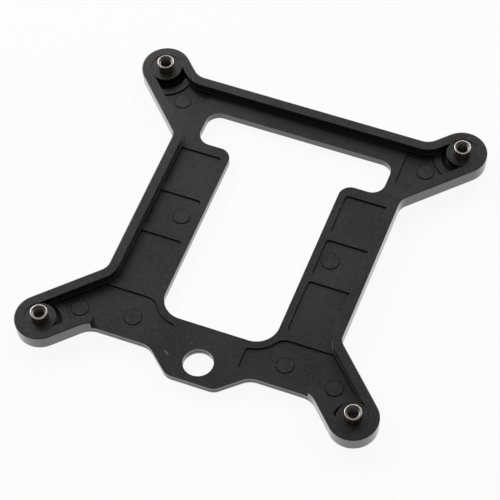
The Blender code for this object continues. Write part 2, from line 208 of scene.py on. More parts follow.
# Ejector pads: in the arms, beyond the window's front corners, and inward of the inserts
PAD_RADIUS = 0.00215
ARM_PAD_INSET = 0.0046
FRONT_PAD_INSET = 0.0031
EAR_PAD_INSET_X = 0.0068
EAR_PAD_INSET_Y = 0.00655
ARM_PAD_X = WINDOW_HALF_WIDTH + ARM_PAD_INSET
FRONT_PAD_Y = WINDOW_FRONT_Y - FRONT_PAD_INSET
EAR_PAD_X = HOLE_PITCH / 2 - EAR_PAD_INSET_X
EAR_PAD_Y = HOLE_PITCH / 2 - EAR_PAD_INSET_Y
PAD_PLACES = (
    (ARM_PAD_X, 0.0),
    (ARM_PAD_X, FRONT_PAD_Y),
    (EAR_PAD_X, -EAR_PAD_Y),
    (EAR_PAD_X, EAR_PAD_Y),
)

# Small rounded edges, and grooves where the mould's inserts meet
POCKET_GROOVE_WIDTH = 0.00015
POCKET_GROOVE_DEPTH = 0.00024
PAD_GROOVE_WIDTH = 0.00019
PAD_GROOVE_DEPTH = 0.00030
EDGE_ROUND = 0.00001

# Parting lines left by the mould's halves, along the front wall and the straight sides
PARTING_WIDTH = 0.00018
PARTING_DEPTH = 0.00010
FRONT_PARTING_HEIGHT = 0.00085
SIDE_PARTING_HEIGHT = 0.0019
SIDE_PARTING_REACH = 0.0180

# Noises: scale, detail and roughness
GRAIN_NOISE = (3200.0, 3.0, 0.6)
MOTTLE_NOISE = (900.0, 2.0, 0.5)
CLOUD_NOISE = (70.0, 2.0, 0.5)
STREAK_NOISE = (2400.0, 3.0, 0.6)
STAIN_NOISE = (1400.0, 3.0, 0.5)
TURNING_NOISE = (9000.0, 2.0, 0.5)

# Black plastic
PLASTIC_DARK = (0.0008, 0.0008, 0.0009, 1.0)
PLASTIC_LIGHT = (0.0150, 0.0150, 0.0152, 1.0)
PLASTIC_WORN = (0.30, 0.30, 0.30, 1.0)
PLASTIC_ROUGHNESS = (0.25, 0.37)
PLASTIC_SPECULAR = 0.8
PLASTIC_IOR = 1.5
COAT_WEIGHT = 0.6
COAT_ROUGHNESS = 0.15
MOTTLE_SHARE = 0.2
CLOUD_SHARE = 0.3
GRAIN_RANGE = (0.38, 0.62)
GRAIN_BUMP_STRENGTH = 0.25
GRAIN_BUMP_HEIGHT = 0.00002

# Walls are smoother than level faces, and level faces below the pockets' floors are duller and painted
# near black, as painted shade in the moats and grooves
LEAN_RANGE = (0.3, 0.8)
WALL_SMOOTHER = 0.12
SUNK_DULLER = 0.55
SUNK_SHADE_AND_DULL_FROM = 0.00150
SUNK_SHADE_AND_DULL_BELOW = 0.00135

# Wear: the scratch's two ends, and the place, radius and strength of each pale speck
SCRATCH = ((-0.0082, -0.03495, PLATE_TOP), (-0.0071, -0.0356, PLATE_TOP))
SCRATCH_HALF_WIDTH = 0.00016
SCRATCH_STRENGTH = 0.8
SPECKS = (
    ((-0.0032, -0.0312, PLATE_TOP), 0.00018, 0.7),
    ((-0.03877, -0.04167, RIM_TOP), 0.00022, 0.8),
    ((0.0375, -0.03342, RIM_TOP), 0.00018, 0.7),
    ((0.03407, 0.04165, RIM_TOP), 0.00020, 0.8),
    ((0.04279, 0.03835, RIM_TOP), 0.00018, 0.8),
)

# Faint marks in the floor of the right front pocket where the plastic flowed: x and y of their ends
FLOW_MARKS = (
    ((0.02230, -0.02753), (0.02411, -0.02709)),
    ((0.02265, -0.02795), (0.02473, -0.02806)),
    ((0.02235, -0.02822), (0.02371, -0.02912)),
    ((0.02219, -0.02488), (0.02312, -0.02391)),
    ((0.02180, -0.02598), (0.02335, -0.02580)),
)
FLOW_MARK_HALF_WIDTH = 0.00022
FLOW_MARK_SMOOTHER = 0.10

# Plated metal: a ring on top painted bright, a painted highlight; a streaked sleeve painted darker,
# painted shade; and a bore painted dark, painted shade that deepens downwards
RING_HEIGHT = 0.00020
RING_PAINTED_HIGHLIGHT = (0.90, 0.85, 0.83, 1.0)
RING_PAINTED_HIGHLIGHT_DULL = (0.68, 0.62, 0.59, 1.0)
RING_ROUGHER = 0.20
SLEEVE_PAINTED_SHADE_DARK = (0.22, 0.20, 0.19, 1.0)
SLEEVE_PAINTED_SHADE_LIGHT = (0.55, 0.51, 0.48, 1.0)
SLEEVE_ROUGHNESS = (0.20, 0.32)
STREAK_STRETCH = (1.0, 1.0, 0.12)
METAL_RANGE = (0.35, 0.65)
METAL_BUMP_STRENGTH = 0.2
METAL_BUMP_HEIGHT = 0.000008
BORE_DARK_RADIUS = 0.00180
BORE_DARK_BLEND = 0.00006
BORE_SHADE_AT_MOUTH = (0.28, 0.27, 0.26, 1.0)
BORE_SHADE_DEEP = (0.03, 0.028, 0.027, 1.0)
BORE_SHADE_START = 0.0004
BORE_SHADE_END = 0.0026
BORE_ROUGHNESS = 0.5

# Facets
ARC_STEP = math.radians(5.0)
HOLE_SIDES = 96
ROUND_STEPS = 3
ROUND_FROM_ANGLE = math.radians(50)
LEVEL_STEP = 0.000001
LEVEL_SLOPE = math.cos(math.radians(1.0))
WALL_SLOPE = math.sin(math.radians(5.0))
FILL_UNIT = 0.001
FILL_LIMIT = 0.00001
FILL_WHOLE_HULL = 0
WELD = 0.0000001

# Sockets of the node that mixes two colours
MIX_FACTOR = 0
MIX_FIRST = 6
MIX_SECOND = 7
MIX_RESULT = 2


# Node materials

def new_material(name):
    material = bpy.data.materials.new(name)
    material.use_nodes = True
    material.node_tree.nodes.clear()
    return material


def add(tree, kind, settings=None, values=None):
    """A shader node with its settings, and its inputs set by name or number."""
    node = tree.nodes.new(kind)
    for key, value in (settings or {}).items():
        setattr(node, key, value)
    for key, value in (values or {}).items():
        if isinstance(value, bpy.types.NodeSocket):
            tree.links.new(value, node.inputs[key])
        else:
            node.inputs[key].default_value = value
    return node


def noise(tree, vector, kind):
    """One of the noises, at a place."""
    scale, detail, roughness = kind
    return add(tree, "ShaderNodeTexNoise", {}, {
        "Vector": vector, "Scale": scale, "Detail": detail, "Roughness": roughness}).outputs["Fac"]


def spread(tree, value, low, high, out_low=0.0, out_high=1.0):
    """A value's place between two limits, held there and carried over to two others."""
    return add(tree, "ShaderNodeMapRange", {"clamp": True}, {
        "Value": value, "From Min": low, "From Max": high,
        "To Min": out_low, "To Max": out_high}).outputs["Result"]


def blend_colours(tree, factor, first, second):
    values = {MIX_FACTOR: factor, MIX_FIRST: first, MIX_SECOND: second}
    return add(tree, "ShaderNodeMix", {"data_type": "RGBA"}, values).outputs[MIX_RESULT]


def math_node(tree, operation, *values):
    return add(tree, "ShaderNodeMath", {"operation": operation}, dict(enumerate(values))).outputs[0]


def weighted(tree, first, second, share):
    """Two values in one, the second by its share and the first by the rest."""
    rest = math_node(tree, "MULTIPLY", first, 1.0 - share)
    return math_node(tree, "MULTIPLY_ADD", second, share, rest)


def distance_to(tree, place, point):
    """Distance from a surface point to a fixed point, both in the piece's own frame."""
    return add(tree, "ShaderNodeVectorMath", {"operation": "DISTANCE"}, {
        0: place, 1: point}).outputs["Value"]


def distance_to_line(tree, place, first, second):
    """Distance from a surface point to a short straight line."""
    along = [b - a for a, b in zip(first, second)]
    length_squared = sum(c * c for c in along)
    from_first = add(tree, "ShaderNodeVectorMath", {"operation": "SUBTRACT"}, {0: place, 1: first})
    reach = add(tree, "ShaderNodeVectorMath", {"operation": "DOT_PRODUCT"}, {
        0: from_first.outputs["Vector"], 1: along}).outputs["Value"]
    share = spread(tree, reach, 0.0, length_squared)
    nearest = add(tree, "ShaderNodeVectorMath", {"operation": "SCALE"}, {0: along, "Scale": share})
    return add(tree, "ShaderNodeVectorMath", {"operation": "DISTANCE"}, {
        0: from_first.outputs["Vector"], 1: nearest.outputs["Vector"]}).outputs["Value"]


def wear_mask(tree, place):
    """One over the scratch and the specks, nought elsewhere."""
    from_scratch = distance_to_line(tree, place, *SCRATCH)
    mask = spread(tree, from_scratch, SCRATCH_HALF_WIDTH, 0.0, 0.0, SCRATCH_STRENGTH)
    for point, radius, strength in SPECKS:
        speck = spread(tree, distance_to(tree, place, point), radius, 0.0, 0.0, strength)
        mask = math_node(tree, "MAXIMUM", mask, speck)
    return mask


def flow_mask(tree, place):
    """One along the faint dark marks where the plastic flowed, nought elsewhere."""
    mask = 0.0
    for first, second in FLOW_MARKS:
        away = distance_to_line(tree, place, (*first, POCKET_FLOOR), (*second, POCKET_FLOOR))
        mask = math_node(tree, "MAXIMUM", mask, spread(tree, away, FLOW_MARK_HALF_WIDTH, 0.0))
    return mask


def plastic_material():
    """Black plastic from a finely eroded mould, a little glossy at low angles, with slight wear, and
    painted shade on the floors of its moats and grooves.
    """
    material = new_material("black_plastic")
    tree = material.node_tree
    place = add(tree, "ShaderNodeTexCoord").outputs["Object"]
    height = add(tree, "ShaderNodeSeparateXYZ", {}, {0: place}).outputs["Z"]
    normal = add(tree, "ShaderNodeNewGeometry").outputs["Normal"]
    facing_up = add(tree, "ShaderNodeSeparateXYZ", {}, {0: normal}).outputs["Z"]
    upright = spread(tree, math_node(tree, "ABSOLUTE", facing_up), *reversed(LEAN_RANGE))
    sunk = math_node(tree, "MULTIPLY", spread(tree, height, SUNK_SHADE_AND_DULL_FROM, SUNK_SHADE_AND_DULL_BELOW),
                     spread(tree, facing_up, *LEAN_RANGE))
    grain = weighted(tree, noise(tree, place, GRAIN_NOISE), noise(tree, place, MOTTLE_NOISE),
                     MOTTLE_SHARE)
    clouded = weighted(tree, grain, noise(tree, place, CLOUD_NOISE), CLOUD_SHARE)

    colour = blend_colours(tree, spread(tree, grain, *GRAIN_RANGE), PLASTIC_DARK, PLASTIC_LIGHT)
    # Level faces below the pockets' floors are painted near black: painted shade in the moats and
    # grooves
    colour = blend_colours(tree, sunk, colour, PLASTIC_DARK)
    colour = blend_colours(tree, wear_mask(tree, place), colour, PLASTIC_WORN)

    rough = spread(tree, clouded, *GRAIN_RANGE, *PLASTIC_ROUGHNESS)
    rough = math_node(tree, "SUBTRACT", rough, math_node(tree, "MULTIPLY", upright, WALL_SMOOTHER))
    rough = math_node(tree, "MULTIPLY_ADD", sunk, SUNK_DULLER, rough)
    rough = math_node(tree, "MULTIPLY_ADD", flow_mask(tree, place), -FLOW_MARK_SMOOTHER, rough)

    relief = add(tree, "ShaderNodeBump", {}, {
        "Strength": GRAIN_BUMP_STRENGTH, "Distance": GRAIN_BUMP_HEIGHT, "Height": grain})
    shader = add(tree, "ShaderNodeBsdfPrincipled", {}, {
        "Base Color": colour, "Roughness": rough, "Normal": relief.outputs["Normal"],
        "Specular IOR Level": PLASTIC_SPECULAR, "IOR": PLASTIC_IOR,
        "Coat Weight": COAT_WEIGHT, "Coat Roughness": COAT_ROUGHNESS, "Coat IOR": PLASTIC_IOR})
    add(tree, "ShaderNodeOutputMaterial", {}, {"Surface": shader.outputs["BSDF"]})
    return material


def metal_material(top):
    """Plated metal: a turned top painted bright as a painted highlight, a smoother sleeve with streaks
    painted darker as painted shade, and a bore painted dark as painted shade, darker further down.
    """
    material = new_material("plated_metal")
    tree = material.node_tree
    place = add(tree, "ShaderNodeTexCoord").outputs["Object"]
    parts = add(tree, "ShaderNodeSeparateXYZ", {}, {0: place}).outputs
    squares = [math_node(tree, "MULTIPLY", parts[axis], parts[axis]) for axis in "XY"]
    across = math_node(tree, "SQRT", math_node(tree, "ADD", *squares))
    inside = spread(tree, across, BORE_DARK_RADIUS, BORE_DARK_RADIUS - BORE_DARK_BLEND)
    up = spread(tree, parts["Z"], top - RING_HEIGHT, top - RING_HEIGHT / 2)
    depth = spread(tree, parts["Z"], top - BORE_SHADE_START, top - BORE_SHADE_END)
    stretched = add(tree, "ShaderNodeVectorMath", {"operation": "MULTIPLY"}, {
        0: place, 1: STREAK_STRETCH}).outputs["Vector"]
    streak = noise(tree, stretched, STREAK_NOISE)
    stain = noise(tree, place, STAIN_NOISE)

    # Painted light: the sleeve and head are painted darker as painted shade, the top ring bright as a
    # painted highlight, and the bore dark as painted shade that deepens downwards
    sleeve = blend_colours(tree, spread(tree, streak, *METAL_RANGE), SLEEVE_PAINTED_SHADE_DARK, SLEEVE_PAINTED_SHADE_LIGHT)
    ring = blend_colours(tree, spread(tree, stain, *METAL_RANGE), RING_PAINTED_HIGHLIGHT, RING_PAINTED_HIGHLIGHT_DULL)
    bore = blend_colours(tree, depth, BORE_SHADE_AT_MOUTH, BORE_SHADE_DEEP)
    colour = blend_colours(tree, inside, blend_colours(tree, up, sleeve, ring), bore)

    rough = spread(tree, streak, *METAL_RANGE, *SLEEVE_ROUGHNESS)
    rough = math_node(tree, "MULTIPLY_ADD", up, RING_ROUGHER, rough)
    rough = math_node(tree, "MAXIMUM", rough, math_node(tree, "MULTIPLY", inside, BORE_ROUGHNESS))

    turning = noise(tree, place, TURNING_NOISE)
    relief = add(tree, "ShaderNodeBump", {}, {
        "Strength": METAL_BUMP_STRENGTH, "Distance": METAL_BUMP_HEIGHT, "Height": turning})
    shader = add(tree, "ShaderNodeBsdfPrincipled", {}, {
        "Base Color": colour, "Roughness": rough, "Metallic": 1.0,
        "Normal": relief.outputs["Normal"]})
    add(tree, "ShaderNodeOutputMaterial", {}, {"Surface": shader.outputs["BSDF"]})
    return material


def table_material():
    """White table that keeps shadows, and that cameras and glossy surfaces see almost white."""
    material = new_material("white_table")
    tree = material.node_tree
    white = (TABLE_WHITE, TABLE_WHITE, TABLE_WHITE, 1.0)
    matt = add(tree, "ShaderNodeBsdfDiffuse", {}, {"Color": white})
    glow = add(tree, "ShaderNodeEmission", {}, {"Color": WHITE, "Strength": 1.0})
    path = add(tree, "ShaderNodeLightPath").outputs
    seen = math_node(tree, "MAXIMUM", path["Is Camera Ray"], path["Is Glossy Ray"])
    seen = math_node(tree, "MAXIMUM", seen, path["Is Transmission Ray"])
    share = math_node(tree, "MULTIPLY", seen, TABLE_GLOW_SHARE)
    mix = add(tree, "ShaderNodeMixShader", {}, {
        "Fac": share, 1: matt.outputs["BSDF"], 2: glow.outputs["Emission"]})
    add(tree, "ShaderNodeOutputMaterial", {}, {"Surface": mix.outputs["Shader"]})
    return material


# Outlines

def arc(cx, cy, radius, start, end):
    """Points of an arc, sharp corners of the outline they join."""
    count = max(2, math.ceil(abs(end - start) / ARC_STEP))
    angles = [start + (end - start) * i / count for i in range(count + 1)]
    return [(cx + radius * math.cos(a), cy + radius * math.sin(a), 0.0) for a in angles]


def rounded(corners):
    """Closed outline from corners (x, y, radius), each radius turned into an arc."""
    points = []
    for i, (x, y, radius) in enumerate(corners):
        here = Vector((x, y))
        if radius <= 0.0:
            points.append(here)
            continue
        back = (Vector(corners[i - 1][:2]) - here).normalized()
        ahead = (Vector(corners[(i + 1) % len(corners)][:2]) - here).normalized()
        half = back.angle(ahead) / 2
        centre = here + (back + ahead).normalized() * radius / math.sin(half)
        first = here + back * radius / math.tan(half) - centre
        turn = first.angle_signed(here + ahead * radius / math.tan(half) - centre)
        count = max(2, math.ceil(abs(turn) / ARC_STEP))
        for k in range(count + 1):
            point = centre + Matrix.Rotation(-turn * k / count, 2) @ first
            if not points or (point - points[-1]).length > WELD:
                points.append(point)
    return points


def moved_in(points, inset):
    """The same outline, run anticlockwise, moved in by inset."""
    moved = []
    for i, here in enumerate(points):
        back = (here - points[i - 1]).normalized()
        ahead = (points[(i + 1) % len(points)] - here).normalized()
        along = (back + ahead).normalized()
        moved.append(here + Vector((-along.y, along.x)) * inset / along.dot(ahead))
    return moved


def both_halves(corners):
    """Closed outline from the corners of its +X half, front to rear, and their mirror image."""
    return rounded(corners + [(-x, y, radius) for x, y, radius in reversed(corners)])


def left_and_right(corners):
    """Two outlines, one from the corners on +X and its mirror image."""
    points = rounded(corners)
    return [points, [(-x, y) for x, y in points]]


def quadrants(corners):
    """The same outline in all four quadrants."""
    return [[(sx * x, sy * y) for x, y, _ in corners] for sx, sy in EAR_SIGNS]


def ear_side_corner(x=None, y=None, side=EAR_RADIUS, across=1):
    """Where an ear's side, so far from its diagonal, meets a line of constant x or y.

    The ear is the one in the quadrant of +X and +Y; across is 1 on its rear side and -1 on its
    outer one.
    """
    shift = across * side * math.sqrt(2)
    if x is None:
        x = y - shift
    return x, x + shift


def ear_tip(side):
    """The two corners that make the ear's round end, in the quadrant of +X and +Y."""
    reach = HOLE_PITCH / 2 + side * math.sqrt(2)
    return (reach, HOLE_PITCH / 2), (HOLE_PITCH / 2, reach)


def outer_corners():
    """Corners of the whole outline, +X half."""
    side_x, side_y = ear_side_corner(x=BODY_HALF_WIDTH, across=-1)
    rear_x, rear_y = ear_side_corner(y=REAR_Y)
    front_x, front_y = ear_side_corner(y=FRONT_Y)
    tip_side, tip_end = ear_tip(EAR_RADIUS)
    return [
        (TAB_TIP_HALF_WIDTH, -FRONT_Y - TAB_REACH, TAB_TIP_RADIUS),
        (TAB_ROOT_HALF_WIDTH, -FRONT_Y, TAB_ROOT_RADIUS),
        (front_x, -front_y, FRONT_NECK_RADIUS),
        (tip_end[0], -tip_end[1], EAR_RADIUS),
        (tip_side[0], -tip_side[1], EAR_RADIUS),
        (side_x, -side_y, SIDE_NECK_RADIUS),
        (side_x, side_y, SIDE_NECK_RADIUS),
        (tip_side[0], tip_side[1], EAR_RADIUS),
        (tip_end[0], tip_end[1], EAR_RADIUS),
        (rear_x, rear_y, REAR_NECK_RADIUS),
    ]


def ear_end(side, sign):
    """Where the inner lines of an ear's rim run into its boss, from one line to the other."""
    middle = HOLE_PITCH / 2
    half = math.asin(side / BOSS_RADIUS)
    inward = math.atan2(-sign, -1)
    return arc(middle, sign * middle, BOSS_RADIUS, inward + half, inward - half)


def field_corners(inset, leg_lap=0.0):
    """Corners of the sunk field inside the rim, +X half, moved in from the rim by inset.

    Its front side runs under the legs by leg_lap.
    """
    wall = RIM_WIDTH + inset
    side = EAR_RADIUS - wall
    side_x, side_y = ear_side_corner(x=BODY_HALF_WIDTH - wall, side=side, across=-1)
    rear_x, rear_y = ear_side_corner(y=REAR_Y - wall, side=side)
    leg_x, leg_y = ear_side_corner(y=FRONT_Y - LEG_WIDTH + leg_lap, side=side)
    side_radius = SIDE_NECK_RADIUS + wall
    corners = [(leg_x, -leg_y, FRONT_NECK_RADIUS + wall)]
    corners += ear_end(side, -1)
    corners += [(side_x, -side_y, side_radius), (side_x, side_y, side_radius)]
    corners += ear_end(side, 1)
    corners += [(rear_x, rear_y, REAR_NECK_RADIUS + wall)]
    return corners


def front_opening_outline():
    """Outline of the gap in the rim between the two legs, running out past the tab."""
    leg_end = ear_side_corner(y=FRONT_Y)[0] - LEG_REACH
    front = -FRONT_Y - TAB_REACH - THROUGH
    rear = -FRONT_Y + LEG_WIDTH + LEG_OVERLAP
    return [(-leg_end, front), (leg_end, front), (leg_end, rear), (-leg_end, rear)]


def side_outline(side):
    """Outline round the straight stretch of a side wall."""
    near = side * (BODY_HALF_WIDTH - THROUGH / 2)
    far = side * (BODY_HALF_WIDTH + THROUGH / 2)
    front = -SIDE_PARTING_REACH
    rear = SIDE_PARTING_REACH
    return [(near, front), (far, front), (far, rear), (near, rear)]


def window_corners():
    """Corners of the window and its wide rear slot, +X half."""
    return [
        (WINDOW_HALF_WIDTH, WINDOW_FRONT_Y, WINDOW_FRONT_RADIUS),
        (WINDOW_HALF_WIDTH, SLOT_FRONT_Y, WINDOW_STEP_RADIUS),
        (SLOT_HALF_WIDTH, SLOT_FRONT_Y, SLOT_RADIUS),
        (SLOT_HALF_WIDTH, SLOT_REAR_Y, SLOT_RADIUS),
    ]


def moat_corners():
    """Corners of the moat between boss and field, in the quadrant of +X and +Y."""
    side = EAR_RADIUS - RIM_WIDTH - MOAT_LEDGE
    inner_radius = BOSS_RADIUS + MOAT_LEDGE
    outer_radius = BOSS_RADIUS + MOAT_WIDTH
    middle = HOLE_PITCH / 2
    inward = EAR_INWARD_ANGLE
    inner = math.asin(side / inner_radius)
    outer = math.asin(side / outer_radius)
    corners = arc(middle, middle, inner_radius, inward - inner, inward + inner)
    corners += arc(middle, middle, outer_radius, inward + outer, inward - outer)
    return corners


def arm_pockets():
    """Front and rear ends of the pockets in an arm, between its ribs."""
    fronts = [y + RIB_WIDTH / 2 for y in RIB_PLACES_Y] + [FRONT_POCKET_REAR_Y + FRONT_RIB_WIDTH]
    rears = [SLOT_FRONT_Y - SLOT_FRAME_WIDTH] + [y - RIB_WIDTH / 2 for y in RIB_PLACES_Y]
    return zip(fronts, rears)


def arm_pocket_corners(front, rear, inset):
    """Corners of a pocket in the +X arm, moved in by inset, running out past the rim."""
    inner = WINDOW_HALF_WIDTH + FRAME_WIDTH + inset
    return [
        (inner, front + inset, POCKET_CORNER),
        (BODY_HALF_WIDTH, front + inset, 0.0),
        (BODY_HALF_WIDTH, rear - inset, 0.0),
        (inner, rear - inset, POCKET_CORNER),
    ]


def rear_ear_pocket_corners(inset):
    """Corners of the pocket in the rear ear on +X, moved in by inset, running out past the rim."""
    inner = EAR_POCKET_X + inset
    front = EAR_POCKET_Y + inset
    return [
        (inner, front, EAR_POCKET_CORNER - inset),
        (EAR_POCKET_REACH, front, 0.0),
        (EAR_POCKET_REACH, EAR_POCKET_REACH, 0.0),
        (inner, EAR_POCKET_REACH, 0.0),
    ]


def front_pocket_corners(inset):
    """Corners of the front pocket on +X, which follows the window's corner and fills the ear.

    Its edge is moved in by inset.
    """
    reach = EAR_POCKET_REACH
    cx = WINDOW_HALF_WIDTH - WINDOW_FRONT_RADIUS
    cy = WINDOW_FRONT_Y + WINDOW_FRONT_RADIUS
    radius = WINDOW_FRONT_RADIUS + FRAME_WIDTH + inset
    bend = FRONT_POCKET_BEND - inset
    rear_y = FRONT_POCKET_REAR_Y - inset
    web_x = TAB_WEB_HALF_WIDTH + inset
    bend_y = rear_y - bend
    bend_x = cx + math.sqrt((radius + bend) ** 2 - (cy - bend_y) ** 2)
    meet = math.atan2(bend_y - cy, bend_x - cx)
    web_angle = -math.acos((web_x - cx) / radius)
    start = web_angle + WEB_CORNER_REACH / radius
    corners = [(web_x, cy + radius * math.sin(web_angle), POCKET_CORNER - inset)]
    corners += arc(cx, cy, radius, start, meet)
    corners += arc(bend_x, bend_y, bend, meet + math.pi, math.pi / 2)[1:]
    corners += [(reach, rear_y, 0.0), (reach, -reach, 0.0), (web_x, -reach, 0.0)]
    return corners


# Solids

def is_level(face):
    """Whether a face lies at one height."""
    heights = [vert.co.z for vert in face.verts]
    return max(heights) - min(heights) < WELD


def finished_mesh(solid):
    """The mesh that an object shows, in the object's own frame."""
    bpy.context.view_layer.update()
    return bpy.data.meshes.new_from_object(solid.evaluated_get(bpy.context.evaluated_depsgraph_get()))


def prism(name, outlines, low, high, collection):
    """Flat outlines filled and given thickness, as one mesh between two heights."""
    curve = bpy.data.curves.new(name, "CURVE")
    curve.dimensions = "2D"
    curve.fill_mode = "BOTH"
    curve.extrude = (high - low) / 2
    for points in outlines:
        spline = curve.splines.new("POLY")
        spline.points.add(len(points) - 1)
        for point, place in zip(spline.points, points):
            point.co = (place[0], place[1], 0.0, 1.0)
        spline.use_cyclic_u = True
    drawn = bpy.data.objects.new(name + "_outline", curve)
    drawn.location.z = (high + low) / 2
    bpy.context.scene.collection.objects.link(drawn)
    mesh = finished_mesh(drawn)
    edit = bmesh.new()
    edit.from_mesh(mesh)
    bmesh.ops.remove_doubles(edit, verts=edit.verts, dist=WELD)
    bmesh.ops.recalc_face_normals(edit, faces=edit.faces)
    bmesh.ops.dissolve_faces(edit, faces=[face for face in edit.faces if is_level(face)])
    edit.to_mesh(mesh)
    edit.free()
    solid = bpy.data.objects.new(name, mesh)
    solid.matrix_world = drawn.matrix_world.copy()
    collection.objects.link(solid)
    bpy.data.objects.remove(drawn, do_unlink=True)
    bpy.data.curves.remove(curve)
    return solid


def cylinders(name, places, radius, low, high, collection, sides=HOLE_SIDES):
    """Upright cylinders of one size as one mesh object."""
    edit = bmesh.new()
    for x, y in places:
        place = Matrix.Translation((x, y, (low + high) / 2))
        bmesh.ops.create_cone(edit, cap_ends=True, segments=sides, radius1=radius, radius2=radius,
                              depth=high - low, matrix=place)
    mesh = bpy.data.meshes.new(name)
    edit.to_mesh(mesh)
    edit.free()
    solid = bpy.data.objects.new(name, mesh)
    collection.objects.link(solid)
    return solid


def add_draft(solid, angle):
    """Moves the solid's lower edge inward, square to its walls, as mould draft leaves it."""
    edit = bmesh.new()
    edit.from_mesh(solid.data)
    lowest = min(v.co.z for v in edit.verts)
    highest = max(v.co.z for v in edit.verts)
    shift = (highest - lowest) * math.tan(angle)
    moves = {}
    for vert in edit.verts:
        walls = [face.normal for face in vert.link_faces if not is_level(face)]
        if vert.co.z > lowest + shift or not walls:
            continue
        way = sum(walls, Vector()).normalized()
        moves[vert] = way * shift / way.dot(walls[0])
    for vert, move in moves.items():
        vert.co -= move
    edit.to_mesh(solid.data)
    edit.free()


def round_edges(solid, width, clamp=True):
    bevel = solid.modifiers.new("edges", "BEVEL")
    bevel.width = width
    bevel.segments = ROUND_STEPS
    bevel.limit_method = "ANGLE"
    bevel.angle_limit = ROUND_FROM_ANGLE
    bevel.use_clamp_overlap = clamp


def combine(solid, tool, operation):
    boolean = solid.modifiers.new(tool.name, "BOOLEAN")
    boolean.operation = operation
    boolean.solver = "EXACT"
    boolean.object = tool


def cut(solid, tool):
    combine(solid, tool, "DIFFERENCE")


def add_object(name, mesh):
    piece = bpy.data.objects.new(name, mesh)
    bpy.context.scene.collection.objects.link(piece)
    return piece


# Plate

def ear_centres():
    half = HOLE_PITCH / 2
    return [(sx * half, sy * half) for sx, sy in EAR_SIGNS]


def pocket_tool(name, inset, low, high, tools):
    """Every shallow pocket, moved in by inset, held inside the rim and off the lands in the ears."""
    outlines = left_and_right(front_pocket_corners(inset))
    outlines += left_and_right(rear_ear_pocket_corners(inset))
    for front, rear in arm_pockets():
        outlines += left_and_right(arm_pocket_corners(front, rear, inset))
    pockets = prism(name, outlines, low, high, tools)
    field = both_halves(field_corners(LEDGE + inset, LEG_LAP_PER_INSET * inset))
    inside = prism(name + "_inside_of_ledge", [field], low - THROUGH, high + THROUGH, tools)
    lands = cylinders(name + "_ear_lands", ear_centres(), LAND_RADIUS + inset,
                      low - THROUGH, high + THROUGH, tools)
    combine(pockets, inside, "INTERSECT")
    cut(pockets, lands)
    return pockets


def parting_tool(name, outline, height, tools):
    """A fine groove in the outer wall at one height, inside a level outline."""
    low = height - PARTING_WIDTH / 2
    high = height + PARTING_WIDTH / 2
    inset = (RIM_TOP - height) * math.tan(DRAFT_ANGLE) + PARTING_DEPTH
    groove = prism(name, [outline], low, high, tools)
    inner_wall = moved_in(both_halves(outer_corners()), inset)
    cut(groove, prism(name + "_core", [inner_wall], low - THROUGH, high + THROUGH, tools))
    return groove


def cut_partings(plate, tools):
    """Parting lines in the front wall and both side walls."""
    cut(plate, parting_tool("front_parting", front_opening_outline(), FRONT_PARTING_HEIGHT, tools))
    for name, side in (("left_parting", -1), ("right_parting", 1)):
        cut(plate, parting_tool(name, side_outline(side), SIDE_PARTING_HEIGHT, tools))


def cut_openings(plate, tools):
    """The sunk field, the gap in the rim at the front, the window, and the tab's hole."""
    field = prism("field", [both_halves(field_corners(0.0))], PLATE_TOP, OVER, tools)
    round_edges(field, FOOT_ROUND)
    cut(plate, field)
    opening = prism("front_opening", [front_opening_outline()], PLATE_TOP, OVER, tools)
    round_edges(opening, FOOT_ROUND)
    cut(plate, opening)
    cut(plate, prism("window", [both_halves(window_corners())], -THROUGH, OVER, tools))
    hole = [(0.0, TAB_HOLE_Y)]
    cut(plate, cylinders("tab_hole", hole, TAB_HOLE_RADIUS, -THROUGH, OVER, tools))
    cut(plate, cylinders("tab_hole_parting", hole, TAB_HOLE_RADIUS + PARTING_DEPTH,
                         FRONT_PARTING_HEIGHT, FRONT_PARTING_HEIGHT + PARTING_WIDTH, tools))


def add_pockets_and_pads(plate, tools):
    """Shallow pockets and raised pads, each with a groove along its edge.

    Both are cut to the depth of the groove first, and then filled again inside it.
    """
    cut(plate, pocket_tool("pockets", 0.0, POCKET_FLOOR - POCKET_GROOVE_DEPTH, OVER, tools))
    floors = pocket_tool("pocket_floors", POCKET_GROOVE_WIDTH, FLOOR_ROOT, POCKET_FLOOR, tools)
    combine(plate, floors, "UNION")
    places = [(side * x, y) for x, y in PAD_PLACES for side in (-1, 1)]
    cut(plate, cylinders("pad_grooves", places, PAD_RADIUS, POCKET_FLOOR - PAD_GROOVE_DEPTH,
                         OVER, tools))
    pads = cylinders("ejector_pads", places, PAD_RADIUS - PAD_GROOVE_WIDTH, FLOOR_ROOT,
                     POCKET_FLOOR + PAD_RISE, tools)
    combine(plate, pads, "UNION")


def cut_boss_details(plate, tools):
    """Moats round the bosses, their sunk tops, and the holes and seats that hold the inserts."""
    ears = ear_centres()
    head_top = HEAD_SINK + HEAD_HEIGHT + FIT_GAP
    cut(plate, prism("moats", quadrants(moat_corners()), PLATE_TOP - MOAT_DEPTH, OVER, tools))
    cut(plate, cylinders("boss_recesses", ears, BOSS_RECESS_RADIUS, RIM_TOP - BOSS_SINK, OVER, tools))
    cut(plate, cylinders("sleeve_holes", ears, SLEEVE_RADIUS + SLEEVE_GAP, -THROUGH, OVER, tools))
    cut(plate, cylinders("head_seats", ears, SEAT_RADIUS, -THROUGH, head_top, tools, sides=HEAD_SIDES))


def plate_solid(tools):
    """The whole plate, with its modifiers still on it."""
    plate = prism("plate_body", [both_halves(outer_corners())], 0.0, RIM_TOP, tools)
    add_draft(plate, DRAFT_ANGLE)
    round_edges(plate, OUTER_ROUND)
    cut_partings(plate, tools)
    cut_openings(plate, tools)
    add_pockets_and_pads(plate, tools)
    cut_boss_details(plate, tools)
    return plate


